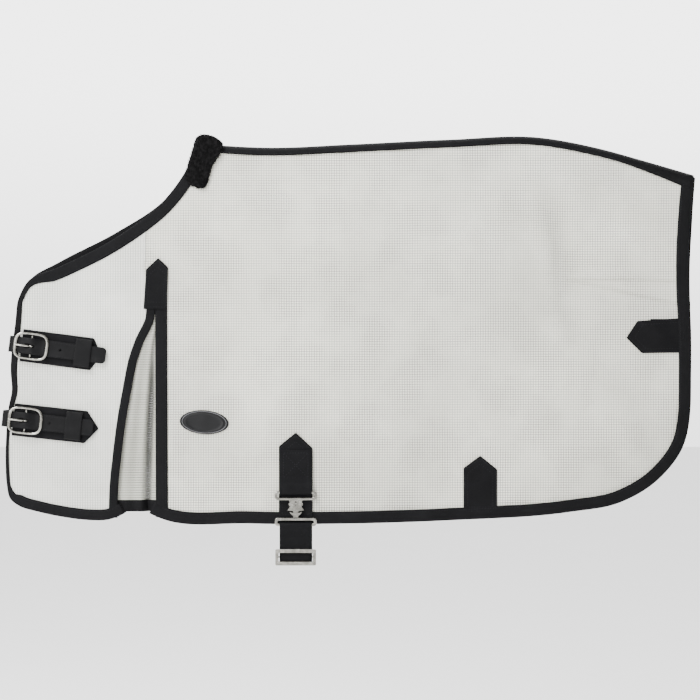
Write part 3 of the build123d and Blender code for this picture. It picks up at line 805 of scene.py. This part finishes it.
def flatPatch(name, corners, side, inside, outside, finishName, nodes, grainAngle, rowsIn):
    # a flat cut piece with a softened edge: its outline shrunk towards the middle in rings
    loop = np.array(corners, float) * mm
    closed = np.concatenate([loop, loop[:1]])
    line = spaced(closed, 241)[:-1]
    line = (np.roll(line, 1, axis=0) + 2 * line + np.roll(line, -1, axis=0)) / 4
    middle = line.mean(axis=0)
    reach = np.linalg.norm(line - middle, axis=1).mean()
    rings = [(k, inside) for k in (0.12, 0.35, 0.9, 1.0)]
    rings += [(1.0, outside - 0.35 * mm), (1 - 0.4 * mm / reach, outside - 0.08 * mm), (1 - 0.9 * mm / reach, outside)]
    rings += [(k, outside) for k in (0.85, 0.6, 0.35, 0.12)]
    flat = np.stack([middle + (line - middle) * k for k, _ in rings])
    deep = np.array([d for _, d in rings])[:, None]
    swell = lie(flat[..., 0], flat[..., 1], side)
    grid = np.stack([flat[..., 0], side * (deep + swell), flat[..., 1]], axis=2)
    c, s = np.cos(grainAngle), np.sin(grainAngle)
    turned = np.stack([flat[..., 0] * c + flat[..., 1] * s, -flat[..., 0] * s + flat[..., 1] * c], axis=2)
    uv = np.concatenate([turned, turned[:, :1]], axis=1)
    dress(surface(name, grid, uv, wrapV=True, capU=True), finishName, "sheet", nodes)
    rows = []
    for gap in rowsIn:
        inner = middle + (closed - middle) * (1 - gap / reach * 1.15)
        spots = spaced(inner, 120)
        rows.append((place(spots, outside + 0.05 * mm, side), faceOut(side)))
    if rows:
        rowsOf(f"{name}_stitches", rows)


patches = {
    "gusset_patch": ([(-297, -175.5), (-282, -190), (-284, -255), (-320, -254.5), (-316, -193)], 15.1, 16.1),
    "leg_patch": ([(202, -482), (228, -503), (228, -571), (176, -571), (176, -501)], 13.9, 14.9),
    "rear_patch": ([(429, -299), (446, -273), (520, -268), (520, -322), (453, -323)], 13.9, 14.9),
    "surcingle_patch": ([(-84, -446), (-58, -470), (-58, -585), (-110, -585), (-110, -467)], 15.35, 16.1),
}
for side in (near, far):
    for name, (corners, inside, outside) in patches.items():
        grain = 0.0 if name == "rear_patch" else np.pi / 2
        flatPatch(f"{sideName[side]}_{name}_cloth", corners, side, inside * mm, outside * mm, "webbing",
                  [f"{sideName[side]}_{name}"], grain, (2.6 * mm, 8 * mm))
print("patches made")


badge = {"place": (-0.226, -0.430), "long": 38 * mm, "high": 18.5 * mm, "tilt": np.radians(4), "depth": 14.0 * mm,
         "rim": 0.5 * mm}


def ovalPoint(angle, scale, depth):
    a, b = badge["long"] * scale * np.cos(angle), badge["high"] * scale * np.sin(angle)
    c, s = np.cos(badge["tilt"]), np.sin(badge["tilt"])
    x = badge["place"][0] + a * c + b * s
    z = badge["place"][1] - a * s + b * c
    return np.stack([x, np.full_like(x, -(badge["depth"] + depth)), z], axis=-1)


def buildBadge():
    # a moulded oval: its height follows a profile from the edge to the middle, with raised lines and a domed field
    profile = [(0.97, 0.0), (1.0, 0.2), (1.0, 0.95), (0.975, 1.2), (0.93, 1.25), (0.90, 1.2), (0.89, 0.9), (0.86, 0.85),
               (0.80, 0.9), (0.79, 1.1), (0.76, 1.12), (0.75, 0.92), (0.60, 1.0), (0.35, 1.15), (0.10, 1.2)]
    angle = np.linspace(0, 2 * np.pi, 96, endpoint=False)
    grid = np.stack([ovalPoint(angle, k, h * mm) for k, h in profile])
    dress(surface("badge_plate", grid, None, wrapV=True, capU=True), "badge", "sheet", ["badge"])
    ring = ovalPoint(angle, 0.90, 1.15 * mm)
    dress(tube("badge_rim", ring, badge["rim"], 10, closed=True, flatten=0.8), "badgeRim", "sheet")


buildBadge()
print("badge made")


fleece = {"voxel": 1.6 * mm, "lumps": 0.9 * mm, "curls": 2600, "curl": 1.5 * mm, "hair": 0.34 * mm}


def buildFleece():
    # the pad's own solid, remeshed and pushed out in lumps, then set with small curled locks wherever it faces outward
    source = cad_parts["withers_fleece"]
    pad = linked("withers_wool", source.data.copy())
    bpy.context.view_layer.objects.active = pad
    weld = pad.modifiers.new("weld", "WELD")
    weld.merge_threshold = 0.00005
    remesh = pad.modifiers.new("remesh", "REMESH")
    remesh.mode, remesh.voxel_size = "VOXEL", fleece["voxel"]
    smooth = pad.modifiers.new("smooth", "SMOOTH")
    smooth.iterations = 4
    made = applied(pad)
    count = len(made.vertices)
    co, normal = np.zeros(count * 3), np.zeros(count * 3)
    made.vertices.foreach_get("co", co)
    made.vertices.foreach_get("normal", normal)
    co, normal = co.reshape(-1, 3), normal.reshape(-1, 3)
    x, y, z = co.T * 1000
    lump = np.sin(x * 1.1 + 2 * np.sin(z * 0.7)) * np.sin(z * 1.0 + 2 * np.sin(x * 0.6)) * np.cos(y * 0.5)
    co = co + normal * (lump * fleece["lumps"])[:, None]
    made.vertices.foreach_set("co", co.ravel())
    made.polygons.foreach_set("use_smooth", np.ones(len(made.polygons), bool))
    made.update()
    rng = np.random.default_rng(7)
    outside = np.flatnonzero(np.hypot(co[:, 1], np.maximum(co[:, 2] + 0.012, 0)) > 15.5 * mm)
    pick = rng.choice(outside, min(fleece["curls"], len(outside)), replace=False)
    root, out = co[pick], normal[pick]
    first = unit(np.cross(out, rng.normal(size=out.shape)))
    second = np.cross(out, first)
    t = np.linspace(0, 1, 7)[None, :, None]
    turn = t * rng.uniform(3.0, 5.5, (len(pick), 1, 1))
    size = rng.uniform(0.6, 1.15, (len(pick), 1, 1)) * fleece["curl"]
    path = (root[:, None] + out[:, None] * size * np.sin(t * np.pi * 0.62) * 0.9
            + first[:, None] * size * (np.sin(turn) * 0.55 + t * 0.4)
            + second[:, None] * size * (1 - np.cos(turn)) * 0.5)
    along = unit(np.gradient(path, axis=1))
    side = unit(np.cross(along, out[:, None]))
    third = np.cross(along, side)
    ang = np.linspace(0, 2 * np.pi, 3, endpoint=False)
    hair = fleece["hair"] * (1 - 0.55 * t)[..., None]
    ring = path[:, :, None] + hair * (side[:, :, None] * np.cos(ang)[:, None]
                                      + third[:, :, None] * np.sin(ang)[:, None])
    n = len(pick)
    k = np.arange(n)[:, None, None] * 21 + np.arange(6)[None, :, None] * 3
    j = np.arange(3)[None, None]
    faces = np.stack([k + j, k + (j + 1) % 3, k + 3 + (j + 1) % 3, k + 3 + j], axis=3).reshape(-1, 4)
    ends = (np.arange(n)[:, None] * 21 + np.array([18, 19, 20])[None])
    mesh = bpy.data.meshes.new("withers_curls")
    mesh.from_pydata(ring.reshape(-1, 3).tolist(), [], faces.tolist() + ends.tolist())
    mesh.polygons.foreach_set("use_smooth", np.ones(len(mesh.polygons), bool))
    mesh.update()
    dress(pad, "fleece", "sheet", ["withers_fleece"])
    dress(linked("withers_curls", mesh), "fleece")


buildFleece()
print("fleece made")


straps = {
    "upper": {"start": (-508.9, -310.4), "tilt": 7.4, "pad": (110, 14), "bar": 15.3, "keeper": 96, "tail": 132,
              "bend": -19, "hole": 61},
    "lower": {"start": (-521.6, -425.4), "tilt": 6.2, "pad": (113, 20), "bar": 18.9, "keeper": 94, "tail": 125,
              "bend": -17, "hole": 57},
}
farStrapY = 15.0 + 1.2 + 0.85     # the far pad's inner face, its thickness and half the leather
# across the sheet: billet, pin and frame; then half sizes of the frame and radius of the pin, all in millimetres
buckle = {"billetY": -19.4, "pinY": -19.0, "frameY": -22.0, "halfLong": 24.6, "halfHigh": 19.3, "pin": 1.4}


def arcOf(centre, radius, fromDeg, toDeg, count=9):
    ang = np.radians(np.linspace(fromDeg, toDeg, count))
    return np.stack([centre[0] + radius * np.cos(ang), centre[1] + radius * np.sin(ang)], axis=1)


def bend(pieces, count):
    # runs of (along, y) points in millimetres as one evenly spaced line
    return spaced(np.concatenate([np.array(p, float) for p in pieces]), count)


def hump(a, b, c, count=14):
    # a smooth rise from a to b and back down to c, half a cosine each way
    s = np.linspace(0, 1, count)[:, None]
    ease = (1 - np.cos(np.pi * s)) / 2
    rise = np.concatenate([a[0] + (b[0] - a[0]) * s, a[1] + (b[1] - a[1]) * ease], axis=1)
    fall = np.concatenate([b[0] + (c[0] - b[0]) * s, b[1] + (c[1] - b[1]) * ease], axis=1)
    return np.concatenate([rise, fall[1:]])


def pierce(piece, cutters):
    # holes cut right through, with the result kept as the mesh
    for cutter in cutters:
        cut = piece.modifiers.new("hole", "BOOLEAN")
        cut.operation, cut.object, cut.solver = "DIFFERENCE", cutter, "EXACT"
    applied(piece)
    for cutter in cutters:
        bpy.data.objects.remove(cutter)


def buildStrap(name, s):
    tilt = np.radians(s["tilt"])
    along = np.array([np.cos(tilt), 0, -np.sin(tilt)])
    across = np.array([np.sin(tilt), 0, np.cos(tilt)])
    start = np.array([s["start"][0], 0, s["start"][1]]) * mm
    bar = s["bar"]

    def at(a, y, b=0.0):
        # a along the strap, y out of the sheet, b across it, all in millimetres
        a, y, b = np.broadcast_arrays(np.asarray(a, float), y, b)
        return start + (a[..., None] * along + b[..., None] * across) * mm + y[..., None] * np.array([0, mm, 0])

    def alongLine(line):
        return at(line[:, 0], line[:, 1])

    body, point = s["pad"]
    corners = [(0, -25), (body, -25), (body + point, 0), (body, 25), (0, 25)]
    world = [tuple((at(a, 0, b)[[0, 2]] / mm).tolist()) for a, b in corners]
    for side, padNode in ((near, f"{name}_strap_pad"), (far, f"{name}_strap_far_pad")):
        flatPatch(f"{padNode}_webbing", world, side, 14.9 * mm, 16.2 * mm, "webbing", [padNode], -tilt, ())
        rows = []
        for b in (-21.5, 21.5):
            rows.append((at(np.linspace(4, body - 2, 60), side * 16.3, b), faceOut(side)))
        for a, b in ((body, -21), (body, 21)):
            slant = at(np.linspace(a, body + point * 0.82, 12), side * 16.3, np.linspace(b, 0, 12))
            rows.append((slant, faceOut(side)))
        rows.append((at(4, side * 16.3, np.linspace(-21, 21, 24)), faceOut(side)))
        rowsOf(f"{padNode}_stitches", rows)

    r, billetY, pinY, frameY = 6.0, buckle["billetY"], buckle["pinY"], buckle["frameY"]
    path = bend([[(75, farStrapY), (s["bend"] + r, farStrapY)], arcOf((s["bend"] + r, farStrapY - r), r, 90, 180),
                 arcOf((s["bend"] + r, r + billetY), r, 180, 270),
                 hump((bar - 19, billetY), (bar, billetY - 3.2), (bar + 18, billetY)), [(s["tail"], billetY)]], 240)
    run = runOf(path)
    left = run[-1] - run
    widths = np.where(left < 7, np.sqrt(np.clip(1 - (1 - left / 7) ** 2, 0.02, 1)) * 0.45 + 0.55, 1.0)
    billet = ribbon(f"{name}_billet_strap", alongLine(path), across, 25 * mm, 1.7 * mm, 0.6 * mm, widths)
    hole = tube(f"{name}_punch", np.linspace(at(s["hole"], -25.0), at(s["hole"], -17.8), 3), 1.85 * mm, 16,
                upright=tuple(across))
    slotEnds = at(np.array([bar - 8.4, bar + 3.4]), -24.5)
    slot = np.array([[p + along * 2.6 * mm * np.cos(g) + across * 2.6 * mm * np.sin(g)
                      for p, g in ((slotEnds[1 if abs(h) <= np.pi / 2 + 1e-6 else 0], h)
                                   for h in np.linspace(-np.pi / 2, 3 * np.pi / 2 - 0.01, 20))]])
    slot = np.concatenate([slot, slot + np.array([0, 8 * mm, 0])])
    pierce(billet, [hole, surface(f"{name}_slot", slot, None, wrapV=True, capU=True)])
    dress(billet, "leather", "sheet", [f"{name}_strap_billet"])
    rows = []
    flatRun = path[(path[:, 1] < -19.0) & (path[:, 0] > bar + 30)]
    for b in (-10.3, 10.3):
        line = spaced(at(flatRun[:, 0], flatRun[:, 1] - 0.88, b), 60)
        rows.append((line[:-3], faceOut(near)))
    rowsOf(f"{name}_billet_stitches", rows)

    chape = bend([[(bar + 45, pinY + 2.1), (bar, pinY + 2.1)], arcOf((bar, pinY), 2.1, 90, 270),
                  hump((bar, pinY - 2.1), (bar + 12, -18.0), (bar + 45, -17.95), 6)], 90)
    dress(ribbon(f"{name}_chape_strap", alongLine(chape), across, 25.5 * mm, 1.0 * mm, 0.45 * mm), "leather", "sheet",
          [f"{name}_strap_chape"])

    # buckle: a bowed rounded frame, and a pin set back across its middle
    ang = np.linspace(0, 2 * np.pi, 120, endpoint=False)
    c, q = np.cos(ang), np.sin(ang)
    ends = np.abs(c) ** (2 / 4.2) * np.sign(c)
    tops = np.abs(q) ** (2 / 3.6) * np.sign(q)
    ring = at(bar + buckle["halfLong"] * ends, frameY, buckle["halfHigh"] * tops)
    ring = spaced(np.concatenate([ring, ring[:1]]), 121)[:-1]
    wide = 1.55 + 0.95 * np.abs(((ring - at(bar, frameY)) @ along) / mm / buckle["halfLong"]) ** 4
    outer = tube(f"{name}_frame", ring, wide * mm, 14, closed=True, flatten=0.85)
    halfPin = [(18.8, -21.6), (18.0, -20.4), (16.6, -19.3), (14, pinY)]
    pinLine = lineThrough(halfPin + [(-b, y) for b, y in halfPin[::-1]], 60)
    pin = tube(f"{name}_pin", at(bar, pinLine[:, 1], pinLine[:, 0]), buckle["pin"] * mm, 12, upright=tuple(along))
    dress(joined(f"{name}_buckle_frame", [outer, pin]), "nickel", "sheet", [f"{name}_strap_buckle"])

    # prong: curled round the pin, then out over the frame's bar, tapered to a blunt tip
    curl = arcOf((bar, pinY), 2.7, -20, -150, 14)
    reach = [(-4.4, -23.3), (-9, -24.9), (-18, -25.1), (-25.6, -25.0)]
    shank = lineThrough([tuple(curl[-1])] + [(bar + a, y) for a, y in reach], 40)
    prongLine = np.concatenate([curl, shank[1:]])
    taper = np.interp(np.arange(len(prongLine)), [0, 12, 40, len(prongLine) - 3, len(prongLine) - 1],
                      [1.0, 1.25, 1.25, 0.95, 0.55])
    prong = tube(f"{name}_prong_pin", alongLine(prongLine), taper * mm, 12, upright=tuple(across), flatten=1.25)
    dress(prong, "nickel", f"{name}_prong", [f"{name}_strap_prong"])

    # keeper: a flat loop round the strap, its corners rounded
    high, deep, corner = 21.2, 2.25, 1.6
    loop = []
    for sx, sy, g in ((1, 1, 0), (-1, 1, 90), (-1, -1, 180), (1, -1, 270)):
        loop.append(arcOf((sx * (high - corner), sy * (deep - corner)), corner, g, g + 90, 6))
    loop = spaced(np.concatenate(loop + [loop[0][:1]]), 97)[:-1]
    keeperLine = at(s["keeper"], loop[:, 1] - 16.2 - 2.9, loop[:, 0])
    dress(ribbon(f"{name}_keeper_loop", keeperLine, along, 25 * mm, 1.3 * mm, 0.5 * mm, closed=True), "leather",
          "sheet", [f"{name}_strap_keeper"])


for name, values in straps.items():
    buildStrap(name, values)
print("chest straps made")


rings = {"places": [(0.202, -0.515), (0.478, -0.290)], "depth": 10.4 * mm, "loop": 2.2 * mm, "wide": 24 * mm}
for side in (near, far):
    webs = []
    for k, (x, z) in enumerate(rings["places"]):
        arc = arcOf((-rings["depth"], z), rings["loop"], 180, 360, 11)
        line = spaced(np.concatenate([[(-12.6 * mm, z + 20 * mm)], arc]), 50)
        path = np.stack([np.full(len(line), x), -side * line[:, 0], line[:, 1]], axis=1)
        webs.append(ribbon(f"loop{k}", path, (1, 0, 0), rings["wide"], 0.8 * mm, 0.35 * mm))
    dress(joined(f"{sideName[side]}_ring_webs", webs), "webbing", "sheet", [f"{sideName[side]}_ring_loops"])
print("ring loops made")


surcingle = {"x": -0.084, "wide": 50 * mm, "thick": 1.3 * mm, "depth": 19.55 * mm, "tabTop": -0.473, "eyeBar": -0.5384,
             "hookBar": -0.5886, "run": 20.55 * mm, "sway": -0.641, "farDepth": 16.6 * mm}


def strapPath(points, count):
    # (y, z) points in metres down the middle of the strap
    line = spaced(np.array(points, float), count)
    return np.stack([np.full(len(line), surcingle["x"]), line[:, 0], line[:, 1]], axis=1)


def buildSurcingle():
    g, x = surcingle, surcingle["x"]
    d, across = g["depth"], (1, 0, 0)
    loop = 2.95 * mm
    tabPoints = ([(-16.6 * mm, g["tabTop"]), (-16.6 * mm, g["eyeBar"])]
                 + list(arcOf((-d, g["eyeBar"]), loop, 0, -180, 13))
                 + [(-d - loop * 0.8, g["eyeBar"] + 6 * mm), (-18.9 * mm, g["eyeBar"] + 15 * mm),
                    (-17.85 * mm, g["eyeBar"] + 24 * mm), (-17.85 * mm, g["tabTop"] + 0.6 * mm)])
    tab = ribbon("near_tab_webbing", strapPath(tabPoints, 140), across, g["wide"], g["thick"], 0.55 * mm)
    dress(tab, "webbing", "sheet", ["near_surcingle_tab"])
    box = [(-19, -477.4), (19, -477.4), (19, -516), (-19, -516), (-19, -477.4)]
    cross = [[(-19, -477.4), (19, -516)], [(19, -477.4), (-19, -516)]]

    def sewBox(name, y, side):
        rows = []
        for run in [box] + cross:
            p = spaced(np.array(run, float) * mm, 60 if len(run) > 2 else 24)
            rows.append((np.stack([x + p[:, 0], np.full(len(p), y), p[:, 1]], axis=1), faceOut(side)))
        rowsOf(name, rows)

    sewBox("near_tab_stitches", -18.55 * mm, near)
    hook = 3.1 * mm
    run = g["run"]
    farY = g["farDepth"]
    turn = 8 * mm
    points = (list(arcOf((-d, g["hookBar"]), hook, 0, 180, 13))
              + [(-d - hook * 0.92, g["hookBar"] - 5 * mm), (-run - 1.0 * mm, g["hookBar"] - 11 * mm),
                 (-run, g["hookBar"] - 18 * mm), (-run, g["sway"] - 1 * mm)]
              + list(arcOf((-run + turn, g["sway"] - 1 * mm), turn, 180, 270, 9))
              + list(arcOf((farY - turn, g["sway"] - 1 * mm), turn, 270, 360, 9)) + [(farY, g["sway"] - 0.3 * mm)])
    strap = ribbon("surcingle_webbing", strapPath(points, 220), across, g["wide"], g["thick"], 0.55 * mm)
    dress(strap, "webbing", None, ["surcingle_strap", "surcingle_turn"])
    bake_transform(strap)

    bar = (-17.4 * mm, -0.6386)
    endPoints = [(-d + hook, g["hookBar"] - 1.3 * mm), (bar[0] + 1.95 * mm, bar[1])]
    endPoints += list(arcOf(bar, 1.95 * mm, 0, -180, 11))
    sewn = ribbon("surcingle_end_webbing", strapPath(endPoints, 70), across, g["wide"] - 0.6 * mm, 1.0 * mm, 0.4 * mm)
    dress(sewn, "webbing", "surcingle_leg", ["surcingle_strap_end"])
    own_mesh(sewn)

    farPath = strapPath([(farY, g["tabTop"]), (farY, g["sway"] + 0.3 * mm)], 120)
    leg = ribbon("far_strap_webbing", farPath, across, g["wide"], g["thick"], 0.55 * mm)
    dress(leg, "webbing", None, ["far_surcingle_strap", "surcingle_far_leg"])
    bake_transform(leg)
    sewBox("far_strap_stitches", farY + 0.7 * mm, far)


buildSurcingle()
print("surcingle made")


for name in ("surcingle_eye", "surcingle_hook", "surcingle_slide", "near_leg_ring", "near_rear_ring", "far_leg_ring",
             "far_rear_ring"):
    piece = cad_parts[name]
    piece.data.materials.clear()
    piece.data.materials.append(finishes["nickel"])
    piece.data.polygons.foreach_set("material_index", np.zeros(len(piece.data.polygons), np.int32))
print("hardware finished")


view = {"centre": (0.0, -0.318), "width": 1.085, "lens": 120.0, "sensor": 36.0}
studio = {"front": 0.56, "back": 4.4, "floor": 0.94, "half": 14.0, "level": -1.05}


def stageAndCamera():
    distance = view["width"] * view["lens"] / view["sensor"]
    camera = bpy.data.cameras.new("camera")
    camera.lens, camera.sensor_width = view["lens"], view["sensor"]
    holder = linked("camera", camera)
    holder.location = (view["centre"][0], -0.0145 - distance, view["centre"][1])
    holder.rotation_euler = (np.pi / 2, 0, 0)
    bpy.context.scene.camera = holder

    floor, tree = newMaterial("floor")
    vector, _ = axesOf(tree)
    grainOf = noiseOf(tree, vector, 3.0)
    pale = studio["floor"]
    finish(floor, Base_Color=colourMix(tree, grainOf, (pale,) * 3, (pale + 0.03,) * 3), Roughness=0.8)
    half = studio["half"]
    grid = np.array([[(x, y, studio["level"]) for y in (-half, half)] for x in (-half, half)])
    plane = surface("floor", grid)
    plane.data.materials.append(floor)

    world = bpy.data.worlds.new("studio")
    world.use_nodes = True
    sky = world.node_tree
    direction = node(sky, "ShaderNodeTexCoord", None, None, "Generated")
    ahead, upward = (node(sky, "ShaderNodeSeparateXYZ", None, {0: direction}, k) for k in (1, 2))
    glow = ramp(sky, ahead, 0.0, 0.55, studio["front"], studio["back"]) * ramp(sky, upward, -0.01, 0.13, 0.64, 1.0)
    sky.links.new(glow.socket, sky.nodes["Background"].inputs["Strength"])
    sky.nodes["Background"].inputs["Color"].default_value = (1, 1, 1, 1)
    bpy.context.scene.world = world
    lamps = {   # place, size and power
        "key": ((-1.7, -1.5, 2.2), 1.1, 215),
        "fill": ((-1.5, -2.0, 0.3), 1.4, 48),
    }
    for name, (spot, size, power) in lamps.items():
        light = bpy.data.lights.new(name, "AREA")
        light.size, light.energy = size, power
        lamp = linked(name, light)
        lamp.location = spot
        lamp.rotation_euler = (Vector((0, 0, -0.3)) - Vector(spot)).to_track_quat("-Z", "Y").to_euler()


stageAndCamera()
print("stage set")
